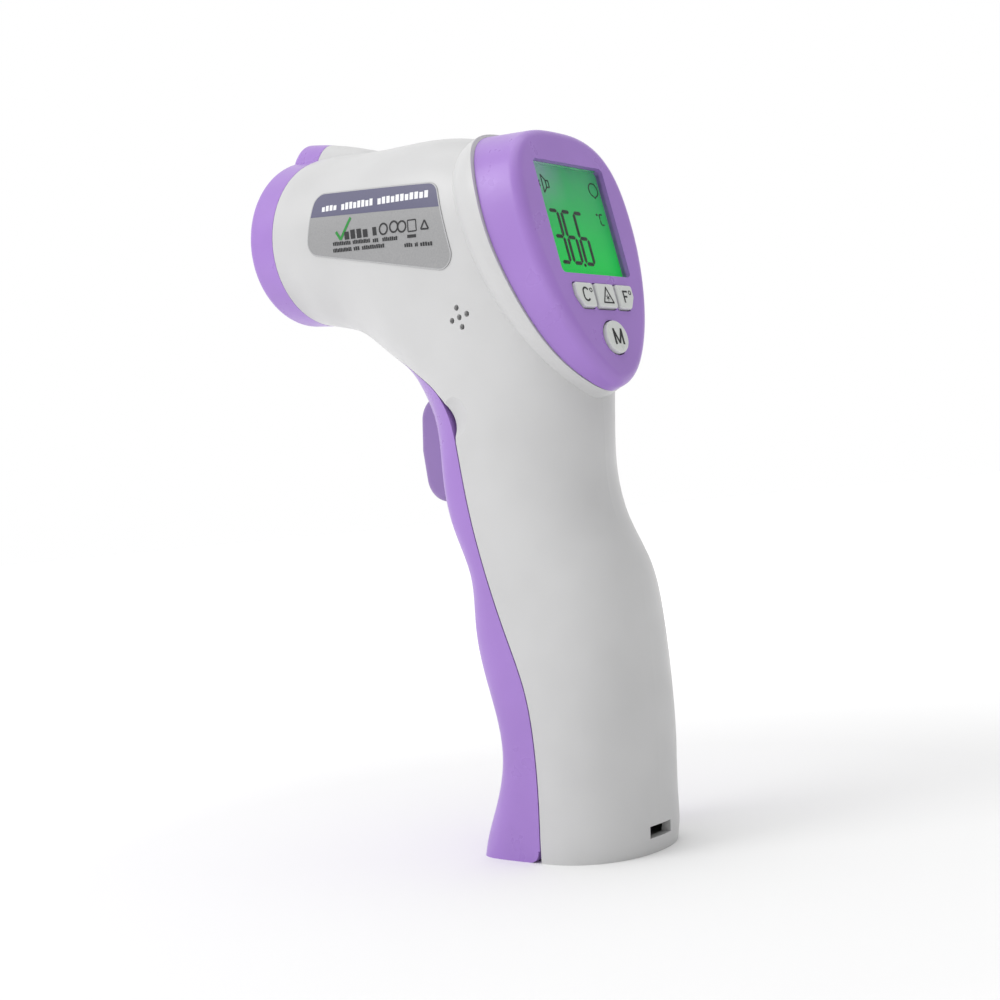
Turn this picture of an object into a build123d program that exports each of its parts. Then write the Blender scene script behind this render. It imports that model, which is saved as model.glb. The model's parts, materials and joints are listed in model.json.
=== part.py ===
from build123d import *
import os
from math import cos, pi, radians, sin

# Gun-type infrared thermometer, in millimetres.
# +Z is up along the grip, +X is the side of the display, -X is the side of the muzzle.
# The origin is on the base, under the grip, in the plane where the two halves meet.

# ---- walls and fits
WALL = 2.0
SEAM_GAP = 0.12
DOOR_GAP = 0.3
SLIDE_GAP = 0.3
SEAT_GAP = 0.15
PIN_CLEARANCE = 0.05

# ---- grip and head, as sections from the base to the muzzle
# The lower sections are level. The upper ones turn about FAN, a line below the muzzle, up to the muzzle seam.
FAN_X = -71.5
FAN_Z = 92.0
BARREL_TILT = 7.5
BARREL_RADIUS = 20.6
BARREL_REACH = 54.7
SECTION_POINTS = 32
PAST_SEAM = 3.0
NECK_HALF_WIDTH = 16.5
# turn in degrees, height, front, widest place, rear, half width, front squareness, rear squareness
GRIP_SECTIONS = (
    (0, 0, -19.6, 0, 18.4, 18.4, 6, 2.2),
    (0, 10, -16.0, 1, 19.4, 18.3, 5, 2.3),
    (0, 22, -12.2, 2, 20.3, 18.1, 5, 2.3),
    (0, 36, -14.6, 2, 20.8, 17.9, 5, 2.3),
    (0, 50, -17.3, 0, 20.6, 17.6, 5, 2.3),
    (0, 62, -17.6, -2, 19.0, 17.2, 5, 2.2),
    (0, 72, -21.8, -4, 15.0, 16.6, 5, 2.0),
    (0, 82, -24.0, -6, 13.4, 16.4, 5, 1.9),
    (0, 92, -25.0, -7, 14.0, NECK_HALF_WIDTH, 4, 1.9),
    (12, 0, 43.5, 66, 87, 17.5, 2.8, 2.4),
    (24, 0, 40.5, 66, 91, 18.6, 2.4, 2.6),
    (36, 0, 37, 66, 95.5, 19.4, 2.3, 2.8),
    (48, 0, 35.5, 64, 91.3, 19.8, 2.2, 2.6),
    (60, 0, 34.8, 58.7, 82.4, 20.1, 2.1, 2.3),
    (71, 0, 34.0, 55.6, 77.2, 20.4, 2.0, 2.1),
    (
        90 - BARREL_TILT, 0, BARREL_REACH - BARREL_RADIUS, BARREL_REACH, BARREL_REACH + BARREL_RADIUS,
        BARREL_RADIUS, 2, 2,
    ),
)

# ---- muzzle ring, and the ridge over it that holds the aiming laser
RING_LENGTH = 9.4
RING_EDGE = 2.2
RING_MOUTH = 15.8
RIDGE_BASE = 12.0
# place along the barrel from the ring's seam, half width, height above the barrel's axis
RIDGE_SECTIONS = ((RING_LENGTH, 7.4, 25.0), (0, 7.0, 24.3), (-10, 6.0, 22.7), (-21, 4.6, 20.2))

# ---- display face
FACE_X = 13.35
FACE_Z = 137.45
FACE_TILT = 12.0
FACE_TOP = -20.6
FACE_WIDEST = 1.0
FACE_BOTTOM = 37.6
FACE_HALF_WIDTH = 19.7
FACE_POWERS = (2.8, 1.75)
FACE_EDGE = 2.6
# plane of the rim where the white housing ends, and the line of the seam seen from the side
RIM_X = 6.0
RIM_Z = 129.65
RIM_TILT = 20.4
RIM_TOP = -32.1
RIM_WIDEST = -6.5
RIM_BOTTOM = 32.2
RIM_HALF_WIDTH = 21.3
RIM_POWERS = (2.7, 1.8)
RIM_STEP = 0.25
BEZEL_ROOT_TOP = -34.5
# place ahead of the rim's plane and how far the outline has drawn in there
RIM_SECTIONS = ((-7.0, -0.2), (0, 0), (4.2, 0.2), (7.0, 1.7), (11.0, 6.0))
RIM_SEAM = ((-12, 172), (-5, 159.3), (-1.3, 152), (3, 137), (7.4, 122.5), (12.3, 108.5), (17, 100), (26, 93))

# ---- window and display stack, measured down the face and inward from it
WINDOW_WIDTH = 24.4
WINDOW_HEIGHT = 25.9
WINDOW_CORNER = 1.2
WINDOW_RECESS = 1.0
WINDOW_SKIRT = 1.4
LENS_THICKNESS = 1.0
LCD_SIDE_BORDER = 2.3
LCD_END_BORDER = 1.05
LCD_WIDTH = WINDOW_WIDTH + 2 * LCD_SIDE_BORDER
LCD_HEIGHT = WINDOW_HEIGHT + 2 * LCD_END_BORDER
LCD_THICKNESS = 2.0
BACKLIGHT_WIDTH = LCD_WIDTH - 4.0
BACKLIGHT_HEIGHT = LCD_HEIGHT - 5.0
BACKLIGHT_THICKNESS = 2.6
STRIP_WIDTH = 2.0
BOARD_DEPTH = 11.0
BOARD_THICKNESS = 1.6
BOARD_CLEARANCE = 1.2
BOARD_WIDTH = 2 * (FACE_HALF_WIDTH - WALL - BOARD_CLEARANCE)
BOARD_TOP = -19.6
BOARD_BOTTOM = 30.0

# ---- keys
KEY_RISE = 0.9
KEY_TRAVEL = 0.7
KEY_EDGE = 0.45
KEY_FLANGE = 0.7
KEY_FLANGE_THICKNESS = 0.9
KEY_ROW_PLACE = 18.0
KEY_ROW_HEIGHT = 5.5
KEY_MIDDLE_WIDTH = 6.6
KEY_OUTER_WIDTH = 5.9
KEY_OUTER_CUT = 1.7
KEY_SPACE = 0.85
KEY_PITCH = (KEY_MIDDLE_WIDTH + KEY_OUTER_WIDTH) / 2 + KEY_SPACE
MODE_PLACE = 27.3
MODE_RADIUS = 3.7
SWITCH_SIDE = 4.5
SWITCH_HEIGHT = 4.3
PLUNGER_RADIUS = 1.2
STEM_RADIUS = 1.3

# ---- board fastening
BOARD_SCREWS = ((-16.4, 0), (23.4, -9.4), (23.4, 9.4))
BOARD_SCREW_RADIUS = 0.9
BOARD_BOSS_RADIUS = 2.0
BOARD_HEAD_RADIUS = 1.8

# ---- battery door and its hinge
DOOR_SEAM = (
    (-46, 117.5), (-31, 110.2), (-25, 107.1), (-20.3, 103.8), (-16.4, 97.4), (-15.1, 90.3), (-12.5, 73),
    (-9, 61), (-4.8, 48.8), (-0.8, 36.9), (0.6, 25.7), (0.6, 12.5), (0, 0),
)
HINGE_RADIUS = 2.6
HINGE_PIN_RADIUS = 0.8
HINGE_PIN_LENGTH = 26.0
HINGE_KNUCKLE_RADIUS = 2.2
DOOR_KNUCKLE = (10.4, 12.8)
HOUSING_KNUCKLE = (7.4, 9.9)
NOTCH_RADIUS = 11.2
NOTCH_X = -26.0
NOTCH_Z = 94.0
NOTCH_MARGIN = 4.0
DIMPLE_RADIUS = 9.0
DIMPLE_DEPTH = 1.0
DIMPLE_X = -15.2
DIMPLE_Z = 97.0

# ---- trigger
TRIGGER_WIDTH = 14.0
TRIGGER_FRONT = -35.2
TRIGGER_TOP = 104.0
TRIGGER_BOTTOM = 79.0
TRIGGER_TRAVEL = 2.5
TRIGGER_EDGE = 2.0
TRIGGER_ROUNDING = 6.0
TRIGGER_BULGE = 1.2
TRIGGER_FLANGE_X = -19.0
TRIGGER_FLANGE = 1.8
TRIGGER_FLANGE_WIDTH = TRIGGER_WIDTH + 4.0
TRIGGER_STEM = 5.2
TRIGGER_STEM_RADIUS = 1.6
TRIGGER_RISE = 1.6
SPRING_WIRE = 0.6
SPRING_RADIUS = 4.9
SPRING_PITCH = 2.2
SPRING_LENGTH = 12.4
TRIGGER_SWITCH_SIDE = 6.0
TRIGGER_SWITCH_HEIGHT = 3.5
TRIGGER_PLUNGER = 1.0
TRIGGER_BOARD_THICKNESS = 1.2

# ---- AAA cells and their tray
CELL_RADIUS = 5.25
CELL_LENGTH = 44.5
CELL_NUB_RADIUS = 1.9
CELL_NUB = 1.0
CELL_SPACE = 0.9
CELL_PITCH = 2 * CELL_RADIUS + CELL_SPACE
CELL_CLEARANCE = 0.25
CELL_X = -1.5
TRAY_FLOOR = 8.0
TRAY_END = 2.0
TRAY_WALL = 2.5
TRAY_BACK = 1.9
TRAY_DEPTH = 3.5
TRAY_FRONT = CELL_X - TRAY_DEPTH
TRAY_REAR = CELL_X + CELL_RADIUS + CELL_CLEARANCE + TRAY_BACK
TRAY_WIDTH = CELL_PITCH + 2 * (CELL_RADIUS + CELL_CLEARANCE + TRAY_WALL)
CONTACT_THICKNESS = 0.4
CONTACT_SPRING = 2.6
BRIDGE_HALF_LENGTH = CELL_PITCH / 2 + 3.8
BRIDGE_HALF_WIDTH = 3.4

# ---- screws that hold the two halves together, as places seen from the side
HOUSING_SCREWS = ((-52, 129), (-30, 156.6), (4.5, 93.5), (12.2, 60), (11.5, 13))
SCREW_RADIUS = 1.1
SCREW_LENGTH = 15.0
SCREW_HEAD_RADIUS = 2.4
SCREW_HEAD = 1.7
SCREW_DEEP = 7.0
BOSS_RADIUS = 3.4

# ---- buzzer, slot and label
BUZZER_X = -8.6
BUZZER_Z = 118.7
BUZZER_RADIUS = 6.0
BUZZER_THICKNESS = 3.0
BUZZER_FACE = 15.3
SOUND_HOLE_RADIUS = 0.65
SOUND_HOLE_PITCH = 2.2
SLOT_WIDTH = 7.6
SLOT_HEIGHT = 2.6
SLOT_Z = 4.7
LABEL_THICKNESS = 0.15
LABEL_CORNERS = ((-49.7, 154.1), (-12.1, 149.2), (-7.7, 128.4), (-53.1, 140.0))
LABEL_ROUNDING = 3.2

# ---- sensor in the muzzle, measured along the barrel from the ring's seam, forward
FUNNEL_WALL = 1.4
FUNNEL_THROAT = 6.2
FUNNEL_DEPTH = -7.0
CUP_RADIUS = 6.0
CUP_WALL = 0.8
CUP_REAR = -13.0
CAN_RADIUS = 4.1
CAN_LENGTH = 3.6
CAN_FLANGE = 4.7
HOLDER_RADIUS = 9.0
SENSOR_BOARD_THICKNESS = 1.2
LASER_RADIUS = 2.6
LASER_LENGTH = 9.0
LASER_HEIGHT = 19.2
LASER_POCKET = 2.4
LASER_WINDOW_RADIUS = 2.0

SIDES = (-1, 1)
FAR = 60.0


# ---------------------------------------------------------------- outlines and planes
def oval(first, widest, last, half_width, first_power, last_power, inset=0.0):
    """Closed smooth outline, egg-shaped along its own X, whose two ends differ in reach and squareness."""
    points = []
    for i in range(SECTION_POINTS):
        angle = 2 * pi * i / SECTION_POINTS
        c, s = cos(angle), sin(angle)
        reach = (last - widest if c >= 0 else widest - first) - inset
        power = last_power if c >= 0 else first_power
        radius = ((abs(c) / reach) ** power + (abs(s) / (half_width - inset)) ** power) ** (-1 / power)
        points.append((widest + radius * c, radius * s))
    return Face(Wire([Spline(points, periodic=True)]))


def tilted_plane(x, z, tilt):
    """Plane whose normal points to the display side and up by tilt; its own X runs down the face."""
    a = radians(tilt)
    return Plane(origin=(x, 0, z), x_dir=(sin(a), 0, -cos(a)), z_dir=(cos(a), 0, sin(a)))


def fan_plane(turn, height):
    """Level plane at a height, or a plane turned up about the fan line."""
    a = radians(turn)
    origin = (FAN_X, 0, FAN_Z) if turn else (0, 0, height)
    return Plane(origin=origin, x_dir=(cos(a), 0, sin(a)), z_dir=(-sin(a), 0, cos(a)))


FACE = tilted_plane(FACE_X, FACE_Z, FACE_TILT)
RIM = tilted_plane(RIM_X, RIM_Z, RIM_TILT)
BARREL_A = radians(BARREL_TILT)
BARREL = Plane(
    origin=(FAN_X + BARREL_REACH * sin(BARREL_A), 0, FAN_Z + BARREL_REACH * cos(BARREL_A)),
    x_dir=(sin(BARREL_A), 0, cos(BARREL_A)),
    z_dir=(-cos(BARREL_A), 0, sin(BARREL_A)),
)


def slab(x0, x1, y0, y1, z0, z1):
    """Box between two corners."""
    return Pos((x0 + x1) / 2, (y0 + y1) / 2, (z0 + z1) / 2) * Box(x1 - x0, y1 - y0, z1 - z0)


def post(radius, low, high):
    """Cylinder on Z from low to high."""
    return Pos(0, 0, (low + high) / 2) * Cylinder(radius, high - low)


def across(x, z, radius, y0, y1):
    """Cylinder along Y at a place seen from the side."""
    return Pos(x, (y0 + y1) / 2, z) * Rot(90, 0, 0) * Cylinder(radius, y1 - y0)


def side_prism(outline, half_width=FAR):
    """Solid across the whole width from an outline drawn in X and Z."""
    face = Plane.XZ * make_face(outline)
    return extrude(face, amount=half_width, both=True)


# ---------------------------------------------------------------- outer forms
def grip_form(inset=0.0):
    """Grip and head, drawn in by inset; a positive inset lifts it off the base and runs it past the seam."""
    faces = []
    for turn, height, front, widest, rear, half_width, front_power, rear_power in GRIP_SECTIONS:
        plane = fan_plane(turn, max(height, inset))
        outline = oval(front, widest, rear, half_width, front_power, rear_power, inset)
        faces.append(plane * outline)
    if inset > 0:
        faces.append(plane.offset(PAST_SEAM) * outline)
    return loft(faces)


def rim_form(inset=0.0):
    """Raised rim of the head in front of the display bezel."""
    faces = []
    for ahead, drawn_in in RIM_SECTIONS:
        outline = oval(RIM_TOP, RIM_WIDEST, RIM_BOTTOM, RIM_HALF_WIDTH, *RIM_POWERS, inset=drawn_in + inset)
        faces.append(RIM.offset(-ahead) * outline)
    return loft(faces)


def ridge_form(inset=0.0):
    """Ridge along the top of the muzzle, which fades into the head."""
    faces = []
    for place, half_width, height in RIDGE_SECTIONS:
        outline = oval(2 * RIDGE_BASE - height, RIDGE_BASE, height, half_width, 2.2, 2.2, inset=inset)
        faces.append(BARREL.offset(place) * outline)
    return loft(faces)


def bezel_form(inset=0.0):
    """Bezel from ahead of the rim's plane to the display face, drawn in by inset."""
    low = oval(BEZEL_ROOT_TOP, RIM_WIDEST, RIM_BOTTOM, RIM_HALF_WIDTH, *RIM_POWERS, inset=RIM_STEP + inset)
    top = oval(FACE_TOP, FACE_WIDEST, FACE_BOTTOM, FACE_HALF_WIDTH, *FACE_POWERS, inset=inset)
    return loft([RIM.offset(-5.5) * low, FACE.offset(-inset) * top], ruled=True)


def behind_rim_seam(shift=0.0):
    """Everything on the display side of the seam between housing and bezel."""
    line = Spline([(x + shift, z) for x, z in RIM_SEAM])
    first, last = line @ 0, line @ 1
    edge = Polyline((last.X, last.Y), (FAR, last.Y), (FAR, first.Y), (first.X, first.Y))
    return side_prism([line, edge])


def door_side(shift=0.0):
    """Everything on the front side of the battery door's seam."""
    line = Spline([(x + shift, z) for x, z in DOOR_SEAM])
    first, last = line @ 0, line @ 1
    edge = Polyline((last.X, last.Y), (last.X, -WALL), (-FAR, -WALL), (-FAR, first.Y), (first.X, first.Y))
    return side_prism([line, edge])


OUTER = grip_form()
INNER = grip_form(WALL)
HINGE_X = DOOR_SEAM[-1][0] - DOOR_GAP - HINGE_RADIUS
HINGE_Z = HINGE_RADIUS


def whole_shell():
    """White shell and door in one, before they are parted, open at the muzzle and at the display."""
    ridge = ridge_form() & BARREL * slab(-FAR, FAR, -FAR, FAR, -FAR, 0)
    outside = OUTER + rim_form() + ridge
    inside = INNER + rim_form(WALL)
    return outside - inside - behind_rim_seam(-SEAM_GAP)


# ---------------------------------------------------------------- housing halves
def trigger_rails():
    """Plates above and below the trigger's flange, with lips in front of it, one pair in each half."""
    low, high = TRIGGER_BOTTOM - TRIGGER_RISE, TRIGGER_TOP + TRIGGER_RISE
    front = TRIGGER_FLANGE_X - 2.0
    plate = 1.4
    rails = slab(front, 1, -FAR, FAR, low - SLIDE_GAP - plate, low - SLIDE_GAP)
    rails += slab(front, 1, -FAR, FAR, high + SLIDE_GAP, high + SLIDE_GAP + plate)
    lips = slab(front, TRIGGER_FLANGE_X - SLIDE_GAP, -FAR, FAR, low - SLIDE_GAP, high + SLIDE_GAP)
    lips -= slab(-FAR, FAR, -TRIGGER_WIDTH / 2 - SLIDE_GAP, TRIGGER_WIDTH / 2 + SLIDE_GAP, 0, 2 * FAR)
    holder = slab(SPRING_END, SPRING_END + 3.2, -FAR, FAR, low - SLIDE_GAP, high + SLIDE_GAP)
    holder -= slab(SPRING_END - 1, SPRING_END + 1.5, -9.2, 9.2, low + 2, high - 2)
    holder -= slab(SPRING_END, FAR, -7, 7, low + 4, high - 4)
    return rails + lips + holder


def fitted_inside(piece):
    """Keeps what is inside the shell, joined to the wall behind the door's seam and clear of the door."""
    clear = piece & grip_form(WALL + 0.5)
    joined = piece & grip_form(WALL / 2) - door_side(DOOR_GAP + 0.4)
    return clear + joined


def hinge_bore():
    """Blind bore for the hinge pin, a little longer than the pin at both ends."""
    half = HINGE_PIN_LENGTH / 2 + DOOR_GAP
    return across(HINGE_X, HINGE_Z, HINGE_PIN_RADIUS + PIN_CLEARANCE, -half, half)


def whole_housing(shell):
    """White housing before it is parted into halves, with its bosses, rails and hinge knuckles."""
    body = shell - door_side(DOOR_GAP)
    body += fitted_inside(trigger_rails())
    inside = grip_form(WALL / 2)
    for x, z in HOUSING_SCREWS:
        body += across(x, z, BOSS_RADIUS, -FAR, FAR) & inside
    y0, y1 = HOUSING_KNUCKLE
    for s in SIDES:
        low, high = sorted((s * y0, s * y1))
        body += across(HINGE_X, HINGE_Z, HINGE_KNUCKLE_RADIUS, low, high)
        body += slab(HINGE_X, 2, low, high, HINGE_Z - HINGE_KNUCKLE_RADIUS, HINGE_Z + HINGE_KNUCKLE_RADIUS)
    body -= hinge_bore()
    # crescent behind the door's edge beside the trigger, with a shallow dimple round it for the fingertip
    beside = TRIGGER_WIDTH / 2 + NOTCH_MARGIN
    notch = across(NOTCH_X, NOTCH_Z, NOTCH_RADIUS, -FAR, FAR) - slab(-FAR, FAR, -beside, beside, 0, 2 * FAR)
    body -= notch
    for s in SIDES:
        centre = NECK_HALF_WIDTH + DIMPLE_RADIUS - DIMPLE_DEPTH
        body -= Pos(DIMPLE_X, s * centre, DIMPLE_Z) * Sphere(DIMPLE_RADIUS)
    # pocket for the rear of the aiming laser
    body -= BARREL * Pos(LASER_HEIGHT, 0, 0) * post(LASER_RADIUS + SEAT_GAP, -LASER_POCKET, 1)
    # lanyard slot through the rear wall
    body -= slab(10, FAR, -SLOT_WIDTH / 2, SLOT_WIDTH / 2, SLOT_Z - SLOT_HEIGHT / 2, SLOT_Z + SLOT_HEIGHT / 2)
    return body


def housing_half(housing, side):
    """One half of the white housing: -1 is the left one, 1 the right one, which the screws enter."""
    part = housing & slab(-2 * FAR, FAR, min(0, side * FAR), max(0, side * FAR), -FAR, 4 * FAR)
    for x, z in HOUSING_SCREWS:
        if side < 0:
            part -= across(x, z, SCREW_RADIUS + PIN_CLEARANCE, -SCREW_LENGTH + SCREW_DEEP - 1, 0)
        else:
            part -= across(x, z, SCREW_RADIUS + 0.2, 0, SCREW_DEEP)
            part -= across(x, z, SCREW_HEAD_RADIUS + 0.3, SCREW_DEEP, FAR)
    if side < 0:
        part -= sound_holes()
    return max(part.solids(), key=lambda s: s.volume)


def sound_holes():
    """Five small holes in a cross over the buzzer, in line with the display's tilt."""
    a = radians(FACE_TILT)
    holes = across(BUZZER_X, BUZZER_Z, SOUND_HOLE_RADIUS, -FAR, -WALL)
    for u, v in ((1, 0), (-1, 0), (0, 1), (0, -1)):
        x = BUZZER_X + SOUND_HOLE_PITCH * (u * cos(a) - v * sin(a))
        z = BUZZER_Z + SOUND_HOLE_PITCH * (u * sin(a) + v * cos(a))
        holes += across(x, z, SOUND_HOLE_RADIUS, -FAR, -WALL)
    return holes


def housing_screws():
    """Self-tapping screws that enter from the right and hold the halves together."""
    screws = []
    for x, z in HOUSING_SCREWS:
        shank = across(x, z, SCREW_RADIUS, SCREW_DEEP - SCREW_LENGTH, SCREW_DEEP + 0.2)
        head = across(x, z, SCREW_HEAD_RADIUS, SCREW_DEEP, SCREW_DEEP + SCREW_HEAD)
        slot = slab(x - 1.6, x + 1.6, SCREW_DEEP + SCREW_HEAD - 0.8, FAR, z - 0.3, z + 0.3)
        cross = slab(x - 0.3, x + 0.3, SCREW_DEEP + SCREW_HEAD - 0.8, FAR, z - 1.6, z + 1.6)
        screws.append(shank + head - slot - cross)
    return Compound(children=[s.solid() for s in screws])


# ---------------------------------------------------------------- battery door
def battery_door(shell):
    """Front of the grip, hinged at the bottom, with a slot for the trigger and a tongue at the top."""
    door = shell & door_side()
    door = max(door.solids(), key=lambda s: s.volume)
    low, high = TRIGGER_BOTTOM - SLIDE_GAP, TRIGGER_TOP + TRIGGER_RISE
    half = TRIGGER_WIDTH / 2 + SLIDE_GAP
    door -= slab(-FAR, 0, -half, half, low, high)
    # lower rear corners turn about the hinge, so they are round about it
    corner = slab(HINGE_X, FAR, -FAR, FAR, -FAR, HINGE_Z) - across(HINGE_X, HINGE_Z, HINGE_RADIUS, -FAR, FAR)
    door -= corner
    y0, y1 = HOUSING_KNUCKLE
    door -= slab(HINGE_X - HINGE_RADIUS - 0.4, FAR, -y1 - 0.3, y1 + 0.3, -1, HINGE_Z + HINGE_RADIUS + 1)
    y0, y1 = DOOR_KNUCKLE
    for s in SIDES:
        a, b = sorted((s * y0, s * y1))
        door += across(HINGE_X, HINGE_Z, HINGE_KNUCKLE_RADIUS, a, b)
        door += slab(HINGE_X - 4, HINGE_X, a, b, 1, HINGE_Z + HINGE_KNUCKLE_RADIUS)
    door -= hinge_bore()
    return max(door.solids(), key=lambda s: s.volume)


def hinge_pin():
    """Steel pin across the bottom of the door."""
    return across(HINGE_X, HINGE_Z, HINGE_PIN_RADIUS, -HINGE_PIN_LENGTH / 2, HINGE_PIN_LENGTH / 2)


# ---------------------------------------------------------------- muzzle
def muzzle_ring():
    """Coloured ring round the muzzle, with the laser's ridge on top and a lip that holds the funnel."""
    barrel = post(BARREL_RADIUS, SEAM_GAP, RING_LENGTH)
    ring = BARREL * barrel + (ridge_form() & BARREL * slab(-FAR, FAR, -FAR, FAR, SEAM_GAP, RING_LENGTH))
    front = ring.faces().filter_by(lambda f: f.normal_at().dot(BARREL.z_dir) > 0.99)
    ring = fillet(front.edges(), RING_EDGE)
    bore = post(BARREL_RADIUS - WALL, -1, RING_LENGTH - 2.4) + post(RING_MOUTH, -1, RING_LENGTH + 1)
    laser = Pos(LASER_HEIGHT, 0, 0) * post(LASER_RADIUS + SEAT_GAP, -1, RING_LENGTH - 2.2)
    beam = Pos(LASER_HEIGHT, 0, 0) * post(LASER_WINDOW_RADIUS + PIN_CLEARANCE, -1, RING_LENGTH + 1)
    return (ring - BARREL * bore - BARREL * laser - BARREL * beam).solid()


def muzzle_funnel():
    """Dark funnel from the muzzle's mouth down to the sensor."""
    mouth = RING_MOUTH - SEAT_GAP
    wide = mouth - FUNNEL_WALL
    top = RING_LENGTH - 0.8
    profile = Polyline(
        (mouth, top), (wide, top), (FUNNEL_THROAT, FUNNEL_DEPTH + 2), (FUNNEL_THROAT, FUNNEL_DEPTH),
        (FUNNEL_THROAT + FUNNEL_WALL, FUNNEL_DEPTH), (FUNNEL_THROAT + FUNNEL_WALL, FUNNEL_DEPTH + 2),
        (mouth, top - 3), close=True,
    )
    cone = revolve(Plane.XZ * make_face(profile), Axis.Z)
    return (BARREL * cone).solid()


def sensor_cup():
    """Bright metal tube that shades the sensor, with a flared mouth."""
    r, w = CUP_RADIUS - PIN_CLEARANCE, CUP_WALL
    profile = Polyline(
        (r, CUP_REAR), (r, FUNNEL_DEPTH + 3.4), (r - w * 0.4, FUNNEL_DEPTH + 3.4), (r - w, CUP_REAR + 5.2),
        (r - w, CUP_REAR), close=True,
    )
    return (BARREL * revolve(Plane.XZ * make_face(profile), Axis.Z)).solid()


def thermopile():
    """Infrared sensor in its round metal can, with a filter window."""
    base = CUP_REAR + 0.4
    can = post(CAN_FLANGE, base, base + 0.8) + post(CAN_RADIUS, base, base + CAN_LENGTH)
    can -= post(CAN_RADIUS - 1.5, base + CAN_LENGTH - 0.4, base + CAN_LENGTH + 1)
    for angle in (45, 135, 225, 315):
        can += Rot(0, 0, angle) * Pos(CAN_RADIUS * 0.62, 0, 0) * post(0.25, base - 1.8, base)
    return (BARREL * can).solid()


def sensor_filter():
    """Silicon filter in the sensor's window."""
    top = CUP_REAR + 0.4 + CAN_LENGTH
    return (BARREL * post(CAN_RADIUS - 1.5 - PIN_CLEARANCE, top - 0.4, top - 0.05)).solid()


def sensor_holder():
    """Plastic collar that holds the cup behind the funnel."""
    collar = post(HOLDER_RADIUS, CUP_REAR, FUNNEL_DEPTH - 0.1)
    for angle in (90, 270):
        collar += Rot(0, 0, angle) * Pos(HOLDER_RADIUS, 0, (CUP_REAR + FUNNEL_DEPTH) / 2) * Box(6, 4, 3)
    collar -= post(CUP_RADIUS + PIN_CLEARANCE, CUP_REAR - 1, FUNNEL_DEPTH + 1)
    return (BARREL * collar).solid()


def sensor_board():
    """Small round board behind the sensor."""
    board = post(HOLDER_RADIUS, CUP_REAR - 0.1 - SENSOR_BOARD_THICKNESS, CUP_REAR - 0.1)
    for angle in (45, 135, 225, 315):
        board -= Rot(0, 0, angle) * Pos(CAN_RADIUS * 0.62, 0, 0) * post(0.4, CUP_REAR - 3, CUP_REAR)
    return (BARREL * board).solid()


def laser_module():
    """Aiming laser in its brass barrel, under the ridge."""
    high = RING_LENGTH - 2.2 - SEAT_GAP
    body = post(LASER_RADIUS, high - LASER_LENGTH, high) - post(1.0, high - 1, high + 1)
    return (BARREL * Pos(LASER_HEIGHT, 0, 0) * body).solid()


def laser_window():
    """Clear disc in front of the laser."""
    high = RING_LENGTH - 0.4
    return (BARREL * Pos(LASER_HEIGHT, 0, 0) * post(LASER_WINDOW_RADIUS, high - 1.2, high)).solid()


# ---------------------------------------------------------------- display end
def outer_key_outline(side, gap=0.0):
    """Outline of the left or right key of the row, with its lower outer corner cut off."""
    near = KEY_PITCH - KEY_OUTER_WIDTH / 2
    far = KEY_PITCH + KEY_OUTER_WIDTH / 2
    low, high = KEY_ROW_PLACE + KEY_ROW_HEIGHT / 2, KEY_ROW_PLACE - KEY_ROW_HEIGHT / 2
    cut = KEY_OUTER_CUT
    corners = [(high, near), (high, far), (low - cut * 1.6, far), (low, far - cut), (low, near)]
    face = make_face(Polyline(*[(u, side * v) for u, v in corners], close=True))
    face = fillet(face.vertices(), 0.7)
    return offset(face, gap) if gap else face


def key_outline(name, gap=0.0):
    """Outline of one key on the face, grown by gap."""
    if name == "button_mode":
        return Pos(MODE_PLACE, 0) * Circle(MODE_RADIUS + gap)
    if name == "button_laser":
        shape = RectangleRounded(KEY_ROW_HEIGHT + 2 * gap, KEY_MIDDLE_WIDTH + 2 * gap, 0.7 + gap)
        return Pos(KEY_ROW_PLACE, 0) * shape
    return outer_key_outline(-1 if name == "button_celsius" else 1, gap)


KEYS = {
    "button_celsius": (KEY_ROW_PLACE, -KEY_PITCH),
    "button_laser": (KEY_ROW_PLACE, 0),
    "button_fahrenheit": (KEY_ROW_PLACE, KEY_PITCH),
    "button_mode": (MODE_PLACE, 0),
}


def button(name):
    """Key cap with a rounded top, a flange that stops it from falling out, and a stem over its switch."""
    flange_top = -WALL - 0.1
    flange_low = flange_top - KEY_FLANGE_THICKNESS
    cap = extrude(Pos(0, 0, flange_low) * key_outline(name), KEY_RISE - flange_low)
    top = cap.faces().sort_by(Axis.Z)[-1]
    cap = fillet(top.edges(), KEY_EDGE)
    cap += extrude(Pos(0, 0, flange_low) * key_outline(name, KEY_FLANGE / 2), KEY_FLANGE_THICKNESS)
    place, aside = KEYS[name]
    stem_end = -BOARD_DEPTH + SWITCH_HEIGHT + 0.8 + KEY_TRAVEL + 0.1
    cap += Pos(place, aside, 0) * post(STEM_RADIUS, stem_end, flange_low + 0.1)
    return (FACE * cap).solid()


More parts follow.
